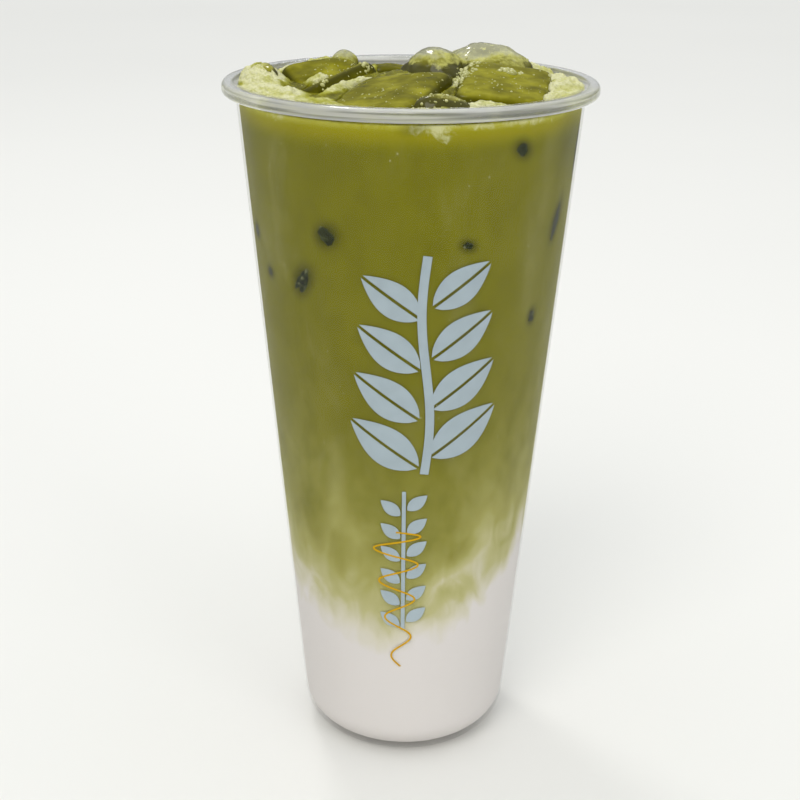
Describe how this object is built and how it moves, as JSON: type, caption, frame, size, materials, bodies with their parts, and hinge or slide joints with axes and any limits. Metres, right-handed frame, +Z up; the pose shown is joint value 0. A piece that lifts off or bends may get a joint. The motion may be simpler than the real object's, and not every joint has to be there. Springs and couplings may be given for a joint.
{
  "type": "iced matcha latte in plastic cup",
  "caption": "Tall clear plastic cup filled to the rim with a layered milk and green tea drink, with pale froth and lumps of ice standing just above the rim.",
  "frame": {"origin": "centre of the flat ring that the cup stands on", "axes": "+Z up along the cup's axis; -Y is the side with the print, +X is to its right"},
  "size_m": [0.095, 0.095, 0.1903],
  "materials": {
    "cup_plastic": "clear, smooth, thin plastic with a solid rounded rim",
    "milk": "opaque white milk seen through the wall",
    "matcha": "cloudy olive green tea with milk",
    "froth": "pale yellow-green foam with fine bubbles",
    "ice": "wet melting ice under a film of the drink"
  },
  "bodies": {
    "root": {"cup": "cup_plastic", "milk": "milk", "matcha": "matcha", "froth": "froth", "ice_1": "ice", "ice_2": "ice", "ice_3": "ice", "ice_4": "ice", "ice_5": "ice", "ice_6": "ice", "ice_7": "ice", "ice_8": "ice", "ice_9": "ice", "ice_10": "ice"}
  },
  "joints": []
}
